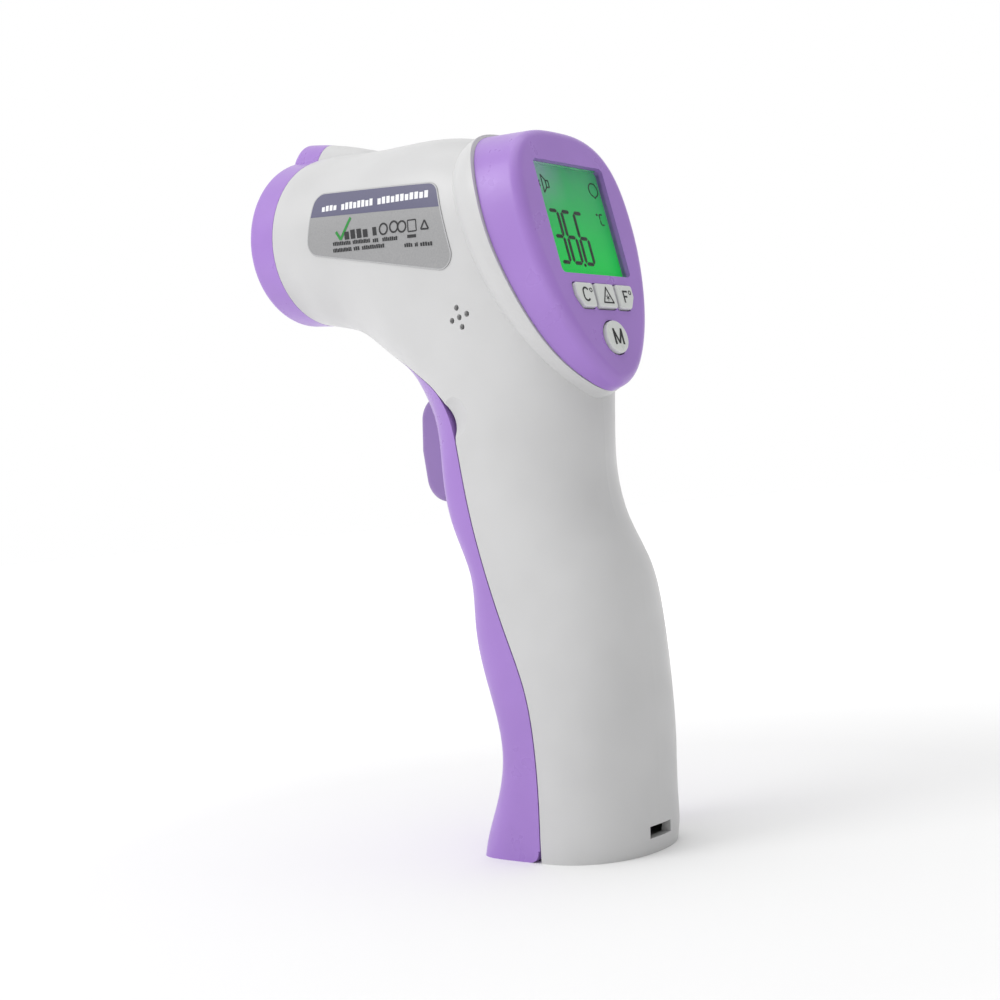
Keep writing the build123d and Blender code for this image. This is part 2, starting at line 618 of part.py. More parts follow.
def rear_bezel():
    """Coloured bezel round the display, with the window's skirt, key openings and board bosses."""
    outside = bezel_form()
    front = outside.faces().sort_by(Axis((0, 0, 0), tuple(FACE.z_dir)))[-1]
    outside = fillet(front.edges(), FACE_EDGE)
    bezel = outside - bezel_form(WALL)
    lip = rim_form(WALL + 0.35) - rim_form(WALL + 1.5)
    lip = lip & behind_rim_seam(-2.2)
    band = lip - behind_rim_seam(1.5)
    bezel = (bezel & behind_rim_seam()) + band
    skirt_depth = WINDOW_RECESS + LENS_THICKNESS + 0.3
    border = 2 * WINDOW_SKIRT
    skirt = RectangleRounded(WINDOW_HEIGHT + border, WINDOW_WIDTH + border, WINDOW_CORNER + 1)
    bezel += FACE * Pos(0, 0, -skirt_depth) * extrude(skirt, skirt_depth - WALL / 2)
    window = RectangleRounded(WINDOW_HEIGHT, WINDOW_WIDTH, WINDOW_CORNER)
    bezel -= FACE * Pos(0, 0, -FAR / 2) * extrude(window, FAR)
    for place, aside in BOARD_SCREWS:
        boss = post(BOARD_BOSS_RADIUS, -BOARD_DEPTH + 0.05, -WALL / 2)
        boss -= post(BOARD_SCREW_RADIUS + PIN_CLEARANCE, -FAR, -WALL - 1)
        bezel += FACE * Pos(place, aside, 0) * boss
    for name in KEYS:
        bezel -= FACE * Pos(0, 0, -WALL - 0.5) * extrude(key_outline(name, SLIDE_GAP), FAR)
    return max(bezel.solids(), key=lambda s: s.volume)


def display_lens():
    """Clear window, set back in the bezel."""
    shape = RectangleRounded(WINDOW_HEIGHT - 2 * SEAT_GAP, WINDOW_WIDTH - 2 * SEAT_GAP, WINDOW_CORNER)
    return (FACE * Pos(0, 0, -WINDOW_RECESS - LENS_THICKNESS) * extrude(shape, LENS_THICKNESS)).solid()


LCD_TOP = -(WINDOW_RECESS + LENS_THICKNESS + 0.3) - 0.1
LCD_LOW = LCD_TOP - LCD_THICKNESS


def lcd_panel():
    """Glass display panel behind the window."""
    h, w = LCD_HEIGHT / 2, LCD_WIDTH / 2
    return (FACE * slab(-h, h, -w, w, LCD_LOW, LCD_TOP)).solid()


def lcd_backlight():
    """Light guide behind the panel."""
    h, w = BACKLIGHT_HEIGHT / 2, BACKLIGHT_WIDTH / 2
    guide = slab(-h, h, -w, w, LCD_LOW - 0.1 - BACKLIGHT_THICKNESS, LCD_LOW - 0.1)
    guide += slab(-h, h, -w, -w + 2, -BOARD_DEPTH + 0.05, LCD_LOW - 0.5)
    guide += slab(-h, h, w - 2, w, -BOARD_DEPTH + 0.05, LCD_LOW - 0.5)
    return (FACE * guide).solid()


def lcd_connectors():
    """Two conductive rubber strips that join the panel to the board."""
    strips = []
    for s in SIDES:
        near = BACKLIGHT_HEIGHT / 2 + SLIDE_GAP
        a, b = sorted((s * near, s * (near + STRIP_WIDTH)))
        half = LCD_WIDTH / 2 - 1
        strips.append((FACE * slab(a, b, -half, half, -BOARD_DEPTH + 0.05, LCD_LOW - 0.05)).solid())
    return Compound(children=strips)


def main_board():
    """Main circuit board, screwed to the bezel's bosses."""
    shape = oval(BOARD_TOP, FACE_WIDEST, BOARD_BOTTOM, BOARD_WIDTH / 2, *FACE_POWERS)
    board = Pos(0, 0, -BOARD_DEPTH - BOARD_THICKNESS) * extrude(shape, BOARD_THICKNESS)
    for place, aside in BOARD_SCREWS:
        board -= Pos(place, aside, 0) * post(BOARD_SCREW_RADIUS + 0.2, -FAR, FAR)
    return (FACE * board).solid()


def key_switches():
    """Four tactile switches on the board, one under each key."""
    switches = []
    h = SWITCH_SIDE / 2
    for place, aside in KEYS.values():
        body = slab(-h, h, -h, h, -BOARD_DEPTH + 0.02, -BOARD_DEPTH + SWITCH_HEIGHT)
        body += post(PLUNGER_RADIUS, -BOARD_DEPTH + SWITCH_HEIGHT - 0.5, -BOARD_DEPTH + SWITCH_HEIGHT + 0.8)
        switches.append((FACE * Pos(place, aside, 0) * body).solid())
    return Compound(children=switches)


BOARD_BACK = -BOARD_DEPTH - BOARD_THICKNESS


def controller_chip():
    """Controller in a flat square package on the back of the board."""
    side, thick = 10.0, 1.4
    chip = slab(-side / 2, side / 2, -side / 2, side / 2, BOARD_BACK - thick, BOARD_BACK - 0.15)
    legs = 8
    for i in range(legs):
        at = (i - (legs - 1) / 2) * 1.1
        for s in SIDES:
            a, b = sorted((s * (side / 2 - 0.2), s * (side / 2 + 0.9)))
            chip += slab(a, b, at - 0.2, at + 0.2, BOARD_BACK - 0.6, BOARD_BACK - 0.02)
            chip += slab(at - 0.2, at + 0.2, a, b, BOARD_BACK - 0.6, BOARD_BACK - 0.02)
    return (FACE * Pos(4, 0, 0) * chip).solid()


def board_components():
    """Plugs, crystal, memory and capacitors on the back of the board."""
    pieces = [
        slab(-14, -10, -9, -2, BOARD_BACK - 4.5, BOARD_BACK - 0.02),
        slab(-14, -10, 2, 9, BOARD_BACK - 4.5, BOARD_BACK - 0.02),
        slab(-4, 1, 9, 13, BOARD_BACK - 1.4, BOARD_BACK - 0.02),
        slab(13, 17, -5.5, 5.5, BOARD_BACK - 3.2, BOARD_BACK - 0.02),
        Pos(20, -7, 0) * post(2.0, BOARD_BACK - 5.0, BOARD_BACK - 0.02),
        Pos(20, 7, 0) * post(2.0, BOARD_BACK - 5.0, BOARD_BACK - 0.02),
    ]
    for i in range(6):
        pieces.append(slab(-8 + 3 * i, -6.4 + 3 * i, -13.4, -12.5, BOARD_BACK - 0.7, BOARD_BACK - 0.02))
    return Compound(children=[(FACE * p).solid() for p in pieces])


def board_screws():
    """Three small screws through the board into the bezel's bosses."""
    screws = []
    for place, aside in BOARD_SCREWS:
        screw = post(BOARD_SCREW_RADIUS, BOARD_BACK - 0.1, -BOARD_DEPTH + 5)
        screw += post(BOARD_HEAD_RADIUS, BOARD_BACK - 1.3, BOARD_BACK - 0.02)
        screw -= slab(-1.2, 1.2, -0.25, 0.25, BOARD_BACK - 2, BOARD_BACK - 0.8)
        screws.append((FACE * Pos(place, aside, 0) * screw).solid())
    return Compound(children=screws)


def buzzer():
    """Round buzzer on the left wall, behind the sound holes."""
    body = across(BUZZER_X, BUZZER_Z, BUZZER_RADIUS, -BUZZER_FACE, -BUZZER_FACE + BUZZER_THICKNESS)
    return (body - across(BUZZER_X, BUZZER_Z, 1.0, -BUZZER_FACE - 1, -BUZZER_FACE + 1)).solid()


def side_label():
    """Thin label that follows the left side of the head."""
    face = make_face(Polyline(*LABEL_CORNERS, close=True))
    face = fillet(face.vertices(), LABEL_ROUNDING)
    prism = extrude(Plane.XZ * face, FAR)
    return ((grip_form(-LABEL_THICKNESS) & prism) - OUTER).solid()


# ---------------------------------------------------------------- trigger group
SPRING_START = TRIGGER_FLANGE_X + TRIGGER_FLANGE + 0.05
SPRING_END = SPRING_START + SPRING_LENGTH
TRIGGER_Z = (TRIGGER_TOP + TRIGGER_BOTTOM) / 2


def trigger():
    """Finger pad with rounded ends, a flange inside the grip and a stem over its switch."""
    back = TRIGGER_FLANGE_X + 0.5
    front, top, low, mid = TRIGGER_FRONT, TRIGGER_TOP, TRIGGER_BOTTOM, TRIGGER_Z
    tip = front + TRIGGER_BULGE
    face = make_face(Polyline((back, low), (tip, low), (front, mid), (tip, top), (back, top), close=True))
    tips = [v for v in face.vertices() if abs(v.X - tip) < 0.01]
    face = fillet(tips, TRIGGER_ROUNDING)
    pad = extrude(Plane.XZ * face, TRIGGER_WIDTH / 2, both=True)
    sides = pad.edges().filter_by(lambda e: abs(e.center().Y) > TRIGGER_WIDTH / 2 - 0.01)
    rims = sides.filter_by(lambda e: e.center().X < back - 1)
    pad = fillet(rims, TRIGGER_EDGE)
    half = TRIGGER_FLANGE_WIDTH / 2
    rear = TRIGGER_FLANGE_X + TRIGGER_FLANGE
    pad += slab(TRIGGER_FLANGE_X, rear, -half, half, low - TRIGGER_RISE, top + TRIGGER_RISE)
    pad += Pos(0, 0, TRIGGER_Z) * Rot(0, 90, 0) * post(TRIGGER_STEM_RADIUS, back, SPRING_START + TRIGGER_STEM)
    return pad.solid()


def coil(radius, wire, pitch, length):
    """Helical spring along Z from 0 to length, with its wire inside both ends."""
    path = Helix(pitch=pitch, height=length - 2 * wire, radius=radius)
    profile = Plane(origin=path @ 0, z_dir=path % 0) * Circle(wire / 2)
    return Pos(0, 0, wire) * sweep(profile, path=path)


def trigger_spring():
    """Return spring between the trigger's flange and its switch board."""
    spring = coil(SPRING_RADIUS, SPRING_WIRE, SPRING_PITCH, SPRING_LENGTH - 0.1)
    return (Pos(SPRING_START + 0.05, 0, TRIGGER_Z) * Rot(0, 90, 0) * spring).solid()


def trigger_switch():
    """Tactile switch that the trigger's stem presses."""
    h = TRIGGER_SWITCH_SIDE / 2
    low = SPRING_END - 0.05 - TRIGGER_SWITCH_HEIGHT
    body = slab(low, SPRING_END - 0.05, -h, h, TRIGGER_Z - h, TRIGGER_Z + h)
    plunger = Pos(0, 0, TRIGGER_Z) * Rot(0, 90, 0) * post(1.7, low - TRIGGER_PLUNGER, low + 0.5)
    return (body + plunger).solid()


def trigger_board():
    """Small board that carries the trigger's switch."""
    rear = SPRING_END + TRIGGER_BOARD_THICKNESS
    return slab(SPRING_END, rear, -9, 9, TRIGGER_Z - 10, TRIGGER_Z + 10).solid()


# ---------------------------------------------------------------- power
TRAY_TOP = TRAY_FLOOR + 2 * TRAY_END + CELL_LENGTH + CELL_NUB + CONTACT_SPRING + 2 * CONTACT_THICKNESS + 0.4


def battery_tray():
    """Tray for two cells side by side, open to the front."""
    tray = slab(TRAY_FRONT, TRAY_REAR, -TRAY_WIDTH / 2, TRAY_WIDTH / 2, TRAY_FLOOR, TRAY_TOP)
    low, high = TRAY_FLOOR + TRAY_END, TRAY_TOP - TRAY_END
    for s in SIDES:
        tray -= Pos(CELL_X, s * CELL_PITCH / 2, 0) * post(CELL_RADIUS + CELL_CLEARANCE, low, high)
    reach = CELL_PITCH / 2 + CELL_RADIUS + CELL_CLEARANCE
    tray -= slab(TRAY_FRONT - 1, CELL_X, -reach, reach, low, high)
    tray += slab(CELL_X - 1.5, TRAY_REAR, -0.2, 0.2, low, high)
    # recess under the divider for the plate that joins the cells
    half = BRIDGE_HALF_LENGTH + SEAT_GAP
    deep = BRIDGE_HALF_WIDTH + SEAT_GAP
    tray -= slab(CELL_X - deep, CELL_X + deep, -half, half, low, low + CONTACT_THICKNESS + SEAT_GAP)
    return tray.solid()


def cell(side):
    """AAA cell; the left one stands with its nub up, the right one with its nub down."""
    foot = TRAY_FLOOR + TRAY_END + CONTACT_THICKNESS
    body = post(CELL_RADIUS, 0, CELL_LENGTH - CELL_NUB) + post(CELL_NUB_RADIUS, 0, CELL_LENGTH)
    rims = [e for e in body.edges() if e.geom_type == GeomType.CIRCLE and abs(e.radius - CELL_RADIUS) < 0.01]
    body = fillet(rims, 0.4)
    if side < 0:
        place = Pos(CELL_X, side * CELL_PITCH / 2, foot + CONTACT_SPRING + 0.1)
    else:
        place = Pos(CELL_X, side * CELL_PITCH / 2, foot + 0.1 + CELL_LENGTH) * Rot(180, 0, 0)
    return (place * body).solid()


def contact_bridge():
    """Plate at the bottom of the tray that joins the two cells."""
    low = TRAY_FLOOR + TRAY_END
    half, deep = BRIDGE_HALF_LENGTH, BRIDGE_HALF_WIDTH
    return slab(CELL_X - deep, CELL_X + deep, -half, half, low + 0.02, low + CONTACT_THICKNESS).solid()


def contact_plates():
    """Two plates at the top of the tray, one for each pole."""
    high = TRAY_TOP - TRAY_END
    plates = []
    for s in SIDES:
        y = s * CELL_PITCH / 2
        plate = slab(CELL_X - 3.4, CELL_X + 3.4, y - 3.6, y + 3.6, high - CONTACT_THICKNESS, high - 0.02)
        plates.append(plate.solid())
    return Compound(children=plates)


def contact_springs():
    """Two coil contacts, one under the left cell and one over the right cell."""
    spring = coil(2.8, 0.45, 1.1, CONTACT_SPRING - 0.1)
    low = TRAY_FLOOR + TRAY_END + CONTACT_THICKNESS + 0.05
    high = TRAY_TOP - TRAY_END - CONTACT_THICKNESS - 0.05 - (CONTACT_SPRING - 0.1)
    places = ((-CELL_PITCH / 2, low), (CELL_PITCH / 2, high))
    return Compound(children=[(Pos(CELL_X, y, z) * spring).solid() for y, z in places])


# ---------------------------------------------------------------- write the pieces
def main():
    shell = whole_shell()
    housing = whole_housing(shell)
    pieces = {
        "left_housing": housing_half(housing, -1),
        "right_housing": housing_half(housing, 1),
        "housing_screws": housing_screws(),
        "battery_door": battery_door(shell),
        "hinge_pin": hinge_pin(),
        "muzzle_ring": muzzle_ring(),
        "muzzle_funnel": muzzle_funnel(),
        "sensor_cup": sensor_cup(),
        "thermopile": thermopile(),
        "sensor_filter": sensor_filter(),
        "sensor_holder": sensor_holder(),
        "sensor_board": sensor_board(),
        "laser_module": laser_module(),
        "laser_window": laser_window(),
        "rear_bezel": rear_bezel(),
        "display_lens": display_lens(),
        "lcd_panel": lcd_panel(),
        "lcd_backlight": lcd_backlight(),
        "lcd_connectors": lcd_connectors(),
        "main_board": main_board(),
        "key_switches": key_switches(),
        "controller_chip": controller_chip(),
        "board_components": board_components(),
        "board_screws": board_screws(),
        "buzzer": buzzer(),
        "side_label": side_label(),
        "trigger": trigger(),
        "trigger_spring": trigger_spring(),
        "trigger_switch": trigger_switch(),
        "trigger_board": trigger_board(),
        "battery_tray": battery_tray(),
        "cell_left": cell(-1),
        "cell_right": cell(1),
        "contact_bridge": contact_bridge(),
        "contact_plates": contact_plates(),
        "contact_springs": contact_springs(),
    }
    for name in KEYS:
        pieces[name] = button(name)
    os.makedirs("parts", exist_ok=True)
    for name, piece in pieces.items():
        export_step(piece, f"parts/{name}.step")


main()
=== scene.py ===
"""Looks of the infrared gun thermometer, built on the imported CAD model. All lengths are in metres."""

import json
import math

import bmesh
import bpy
from mathutils import Matrix, Vector
from mathutils.bvhtree import BVHTree

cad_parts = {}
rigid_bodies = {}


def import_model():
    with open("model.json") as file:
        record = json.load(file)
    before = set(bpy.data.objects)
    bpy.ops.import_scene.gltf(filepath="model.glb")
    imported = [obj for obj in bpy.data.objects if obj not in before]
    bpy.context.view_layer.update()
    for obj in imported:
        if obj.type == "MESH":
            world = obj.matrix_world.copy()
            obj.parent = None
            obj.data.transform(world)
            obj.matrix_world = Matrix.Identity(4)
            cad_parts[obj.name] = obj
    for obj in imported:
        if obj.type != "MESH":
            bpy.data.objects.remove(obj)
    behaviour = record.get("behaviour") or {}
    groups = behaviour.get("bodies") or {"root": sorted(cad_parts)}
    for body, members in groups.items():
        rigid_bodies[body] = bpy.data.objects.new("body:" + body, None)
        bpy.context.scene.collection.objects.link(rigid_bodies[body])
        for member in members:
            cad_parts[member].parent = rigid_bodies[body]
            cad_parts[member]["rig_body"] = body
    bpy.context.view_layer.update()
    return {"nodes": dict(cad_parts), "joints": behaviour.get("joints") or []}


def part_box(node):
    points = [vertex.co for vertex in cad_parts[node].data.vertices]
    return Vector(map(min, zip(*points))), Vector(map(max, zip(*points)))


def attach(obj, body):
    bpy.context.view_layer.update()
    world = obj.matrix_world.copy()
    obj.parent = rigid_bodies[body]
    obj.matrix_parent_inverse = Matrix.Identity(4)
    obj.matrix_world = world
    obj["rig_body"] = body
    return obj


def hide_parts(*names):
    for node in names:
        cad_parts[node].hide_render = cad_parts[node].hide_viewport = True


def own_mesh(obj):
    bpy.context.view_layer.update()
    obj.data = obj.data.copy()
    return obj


MM = 0.001
PRINT = 0.03 * MM  # how far printed ink stands off what it is printed on
INK_SWELL = 0.02 * MM  # how far a print on the display face starts off the surface
NOISE_ROUGHNESS = 0.55
Y_AXIS = Vector((0, 1, 0))

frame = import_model()
NODES = frame["nodes"]


# ---------------------------------------------------------------- node material helpers
class Shader:
    """A material with a Principled shader, and short calls that add nodes to it."""

    def __init__(self, name):
        self.material = bpy.data.materials.new(name)
        self.material.use_nodes = True
        self.tree = self.material.node_tree
        self.principled = self.tree.nodes["Principled BSDF"]
        self.place = self.add("ShaderNodeTexCoord").outputs["Object"]

    def add(self, kind, **settings):
        node = self.tree.nodes.new(kind)
        for key, value in settings.items():
            setattr(node, key, value)
        return node

    def link(self, output, target):
        self.tree.links.new(output, target)

    def set(self, **sockets):
        for key, value in sockets.items():
            self.principled.inputs[key.replace("_", " ")].default_value = value

    def noise(self, size, detail=3.0, stretch=None):
        """Noise whose blobs are about size metres across; stretch makes them longer along one axis."""
        source = self.place
        if stretch:
            mapping = self.add("ShaderNodeMapping")
            mapping.inputs["Scale"].default_value = stretch
            self.link(self.place, mapping.inputs["Vector"])
            source = mapping.outputs["Vector"]
        node = self.add("ShaderNodeTexNoise")
        node.inputs["Scale"].default_value = 1 / size
        node.inputs["Detail"].default_value = detail
        node.inputs["Roughness"].default_value = NOISE_ROUGHNESS
        self.link(source, node.inputs["Vector"])
        return node.outputs["Fac"]

    def spread(self, factor, low, high, start=0.35, end=0.65):
        """Turns a factor into a value between low and high."""
        node = self.add("ShaderNodeMapRange")
        node.inputs["From Min"].default_value = start
        node.inputs["From Max"].default_value = end
        node.inputs["To Min"].default_value = low
        node.inputs["To Max"].default_value = high
        self.link(factor, node.inputs["Value"])
        return node.outputs["Result"]

    def blend(self, factor, first, second):
        """Mixes two colours by a factor."""
        node = self.add("ShaderNodeMix", data_type="RGBA")
        self.link(factor, node.inputs["Factor"])
        for socket, value in ((node.inputs[6], first), (node.inputs[7], second)):
            if isinstance(value, bpy.types.NodeSocket):
                self.link(value, socket)
            else:
                socket.default_value = (*value, 1)
        return node.outputs[2]

    def bump(self, height, distance, strength=1.0, before=None):
        node = self.add("ShaderNodeBump")
        node.inputs["Distance"].default_value = distance
        node.inputs["Strength"].default_value = strength
        self.link(height, node.inputs["Height"])
        if before is not None:
            self.link(before, node.inputs["Normal"])
        self.link(node.outputs["Normal"], self.principled.inputs["Normal"])
        return node.outputs["Normal"]

    def to(self, socket, output):
        self.link(output, self.principled.inputs[socket])


def moulded_plastic(name, colour, shift=0.04, rough=0.36, grain=0.16 * MM, depth=0.004 * MM, coat=0.0):
    """Satin moulded plastic: a fine spark-eroded grain, slow waves of gloss, and a slight drift of colour."""
    s = Shader(name)
    darker = tuple(c * (1 - shift) for c in colour)
    lighter = tuple(min(1.0, c * (1 + shift * 0.5)) for c in colour)
    slow = s.noise(22 * MM, detail=2)
    s.to("Base Color", s.blend(s.spread(slow, 0, 1), darker, lighter))
    s.to("Roughness", s.spread(s.noise(9 * MM, detail=4), rough - 0.05, rough + 0.06))
    waves = s.bump(slow, 0.03 * MM, 0.35)
    s.bump(s.noise(grain, detail=2), depth, 0.8, before=waves)
    s.set(IOR=1.5, Coat_Weight=coat, Coat_Roughness=0.12)
    return s.material


def turned_metal(name, colour, rough=0.28, size=0.6 * MM):
    """Metal with fine drawn or turned lines and a few duller patches."""
    s = Shader(name)
    lines = s.noise(size, detail=5, stretch=(1, 1, 14))
    patches = s.noise(4 * MM, detail=3)
    dull = tuple(c * 0.82 for c in colour)
    s.to("Base Color", s.blend(s.spread(patches, 0, 1), dull, colour))
    s.to("Roughness", s.spread(lines, rough - 0.08, rough + 0.14))
    s.bump(lines, 0.006 * MM, 0.6)
    s.set(Metallic=1.0)
    return s.material


def printed_ink(name, colour):
    """Printed ink with slightly uneven cover."""
    s = Shader(name)
    cover = s.noise(0.35 * MM, detail=3)
    s.to("Base Color", s.blend(s.spread(cover, 0, 1), tuple(c * 0.9 for c in colour), colour))
    s.to("Roughness", s.spread(cover, 0.37, 0.50))
    s.bump(cover, 0.003 * MM, 0.5)
    return s.material


def clear_pane(name):
    """Clear acrylic with faint waves."""
    s = Shader(name)
    s.set(Base_Color=(0.96, 1.0, 0.98, 1), Transmission_Weight=1.0, IOR=1.12)
    s.to("Roughness", s.spread(s.noise(3 * MM), 0.0, 0.02))
    s.bump(s.noise(7 * MM, detail=1), 0.004 * MM, 0.4)
    return s.material


def display_green():
    """Back-lit green liquid crystal, bright low down, duller above and greyer in the top left corner."""
    s = Shader("display_green")
    low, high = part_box("lcd_panel")
    split = s.add("ShaderNodeSeparateXYZ")
    s.link(s.place, split.inputs["Vector"])
    up = s.spread(split.outputs["Z"], 0, 1, low.z + 2 * MM, high.z - 2 * MM)
    across = s.spread(split.outputs["Y"], 0, 1, low.y + 2 * MM, high.y - 2 * MM)
    body = s.blend(up, DISPLAY_LOW, DISPLAY_HIGH)
    corner = s.add("ShaderNodeMath", operation="MULTIPLY")
    s.link(s.spread(up, 0, 1, 0.55, 1.0), corner.inputs[0])
    s.link(s.spread(across, 1, 0, 0.0, 0.5), corner.inputs[1])
    colour = s.blend(corner.outputs["Value"], body, DISPLAY_CORNER)
    mottle = s.noise(2.5 * MM, detail=4)
    shaded = s.blend(s.spread(mottle, 0, 0.12), colour, DISPLAY_LOW)
    s.to("Base Color", shaded)
    s.to("Emission Color", shaded)
    s.set(Emission_Strength=DISPLAY_GLOW, Specular_IOR_Level=0.2)
    s.to("Roughness", s.spread(s.noise(0.2 * MM), 0.3, 0.42))
    s.bump(s.noise(0.12 * MM, detail=1), 0.002 * MM, 0.5)
    return s.material


def board_green():
    """Solder mask over copper tracks, which show as a faint pattern."""
    s = Shader("board_green")
    cells = s.add("ShaderNodeTexVoronoi", feature="DISTANCE_TO_EDGE")
    cells.inputs["Scale"].default_value = 1 / (2.4 * MM)
    s.link(s.place, cells.inputs["Vector"])
    tracks = s.spread(cells.outputs["Distance"], 1, 0, 0.05, 0.09)
    s.to("Base Color", s.blend(tracks, (0.012, 0.11, 0.04), (0.03, 0.22, 0.08)))
    s.to("Roughness", s.spread(s.noise(1.2 * MM), 0.22, 0.34))
    s.bump(tracks, 0.03 * MM, 0.6)
    return s.material


# ---------------------------------------------------------------- colours
WHITE = (0.57, 0.57, 0.572)
LILAC = (0.345, 0.19, 0.57)
# darker lilac for the trigger is painted shade: it stands in for the shade where the trigger sits recessed
# behind the battery door's edges
SHADED_TRIGGER_LILAC = (0.245, 0.15, 0.39)
KEY_GREY = (0.63, 0.65, 0.63)
DISPLAY_LOW = (0.006, 0.45, 0.06)
DISPLAY_HIGH = (0.04, 0.24, 0.11)
DISPLAY_CORNER = (0.22, 0.27, 0.33)
DISPLAY_GLOW = 0.55
LABEL_GREY = (0.315, 0.315, 0.32)
LABEL_PALE = (0.45, 0.45, 0.46)
LABEL_BAND = (0.105, 0.102, 0.18)
INK_BLACK = (0.012, 0.012, 0.014)
INK_WHITE = (0.85, 0.85, 0.88)
INK_GREEN = (0.01, 0.25, 0.03)

white = moulded_plastic("white_shell", WHITE)
lilac = moulded_plastic("lilac_shell", LILAC, shift=0.05, rough=0.32)
# the trigger's material carries painted shade, the lilac darkened for the shade that falls on it
shaded_trigger_lilac = moulded_plastic("shaded_trigger_lilac", SHADED_TRIGGER_LILAC, shift=0.05, rough=0.34)
key_cap = moulded_plastic("key_cap", KEY_GREY, shift=0.02, rough=0.30)
dark = moulded_plastic(
    "dark_plastic", (0.035, 0.035, 0.04), shift=0.2, rough=0.5, grain=0.3 * MM, depth=0.01 * MM
)
natural = moulded_plastic("natural_plastic", (0.62, 0.61, 0.57), rough=0.45)
inner_white = moulded_plastic("white_plastic", (0.78, 0.78, 0.75), rough=0.42)
epoxy = moulded_plastic("black_component", (0.02, 0.02, 0.022), shift=0.3, rough=0.55)
rubber = moulded_plastic("rubber_strip", (0.05, 0.05, 0.055), shift=0.2, rough=0.7)
guide = moulded_plastic("light_guide", (0.5, 0.78, 0.5), rough=0.2)
sleeve = moulded_plastic("cell_wrap", (0.03, 0.07, 0.2), shift=0.1, rough=0.22, depth=0.001 * MM, coat=0.4)
steel = turned_metal("steel", (0.62, 0.62, 0.63))
nickel = turned_metal("nickel", (0.72, 0.69, 0.62), rough=0.22, size=0.9 * MM)
brass = turned_metal("brass", (0.80, 0.58, 0.25))
bright = turned_metal("bright_tube", (0.86, 0.84, 0.78), rough=0.14)
silicon = moulded_plastic("silicon_filter", (0.08, 0.07, 0.09), shift=0.1, rough=0.12, depth=0.0005 * MM)
label_film = printed_ink("label_film", LABEL_GREY)
ink_band = printed_ink("ink_band", LABEL_BAND)
ink_black = printed_ink("ink_black", INK_BLACK)
ink_white = printed_ink("ink_white", INK_WHITE)
ink_edge = printed_ink("ink_edge", LABEL_PALE)
ink_green = printed_ink("ink_green", INK_GREEN)
pane = clear_pane("clear_window")

NODE_MATERIALS = {
    "left_housing": white, "right_housing": white, "housing_screws": steel, "battery_door": lilac,
    "hinge_pin": steel, "muzzle_ring": lilac, "muzzle_funnel": dark, "sensor_cup": bright,
    "thermopile": nickel, "sensor_filter": silicon, "sensor_holder": inner_white,
    "sensor_board": board_green(), "laser_module": brass, "laser_window": pane, "rear_bezel": lilac,
    "display_lens": pane, "lcd_panel": display_green(), "lcd_backlight": guide, "lcd_connectors": rubber,
    "key_switches": epoxy, "controller_chip": epoxy, "board_components": inner_white,
    "board_screws": steel, "buzzer": dark, "side_label": label_film, "trigger": shaded_trigger_lilac,
    "trigger_spring": steel, "trigger_switch": epoxy, "battery_tray": natural, "cell_left": sleeve,
    "cell_right": sleeve, "contact_bridge": nickel, "contact_plates": nickel, "contact_springs": nickel,
    "button_celsius": key_cap, "button_laser": key_cap, "button_fahrenheit": key_cap, "button_mode": key_cap,
}
NODE_MATERIALS["main_board"] = NODE_MATERIALS["sensor_board"]
NODE_MATERIALS["trigger_board"] = NODE_MATERIALS["sensor_board"]

for node_name, material in NODE_MATERIALS.items():
    mesh = NODES[node_name].data
    mesh.materials.clear()
    mesh.materials.append(material)


# ---------------------------------------------------------------- flat prints on the display face
OUTWARD = -Vector(next(j for j in frame["joints"] if j["name"] == "key_mode_press")["axis"]).normalized()
UPWARD = OUTWARD.cross(Y_AXIS).normalized()


def front_of(node):
    """How far the front of a node lies along the display face's normal."""
    return max(OUTWARD.dot(v.co) for v in NODES[node].data.vertices)


def face_frame(node):
    """Point in the middle of a node's front, from which prints are placed by right and up."""
    low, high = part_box(node)
    middle = (low + high) / 2
    return middle + OUTWARD * (front_of(node) - OUTWARD.dot(middle))


def ink_object(name, outlines, place, material, body, thickness=PRINT):
    """Thin raised prints: each outline is a list of (right, up) corners, and place puts a corner in space."""
    bm = bmesh.new()
    for outline in outlines:
        lower = [bm.verts.new(place(u, v, 0)) for u, v in outline]
        upper = [bm.verts.new(place(u, v, thickness)) for u, v in outline]
        bm.faces.new(upper)
        bm.faces.new(lower[::-1])
        for i in range(len(outline)):
            j = (i + 1) % len(outline)
            bm.faces.new((lower[i], lower[j], upper[j], upper[i]))
    bmesh.ops.recalc_face_normals(bm, faces=bm.faces)
    mesh = bpy.data.meshes.new(name)
    bm.to_mesh(mesh)
    bm.free()
    piece = bpy.data.objects.new(name, mesh)
    bpy.context.scene.collection.objects.link(piece)
    mesh.materials.append(material)
    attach(piece, body)
    return piece


def on_face(origin):
    """Placing function for prints on a flat part of the display face."""
    return lambda u, v, w: origin + Y_AXIS * u + UPWARD * v + OUTWARD * (w + INK_SWELL)


def bar(x0, y0, x1, y1, width):
    """Straight stroke between two points."""
    along = Vector((x1 - x0, y1 - y0)).normalized() * width / 2
    side = Vector((-along.y, along.x))
    start = [(x0 + side.x, y0 + side.y), (x0 - side.x, y0 - side.y)]
    return start + [(x1 - side.x, y1 - side.y), (x1 + side.x, y1 + side.y)]


def arc_strokes(cx, cy, radius, start, end, width, steps=20):
    """Ring, or part of one, as short four-sided pieces that share their ends; angles are in degrees."""
    def point(reach, turn):
        return cx + reach * math.cos(turn), cy + reach * math.sin(turn)

    inner, outer = radius - width / 2, radius + width / 2
    pieces = []
    for i in range(steps):
        a, b = (math.radians(start + (end - start) * k / steps) for k in (i, i + 1))
        pieces.append([point(inner, a), point(outer, a), point(outer, b), point(inner, b)])
    return pieces


def disc(cx, cy, radius, steps=16):
    turns = [2 * math.pi * i / steps for i in range(steps)]
    return [(cx + radius * math.cos(t), cy + radius * math.sin(t)) for t in turns]


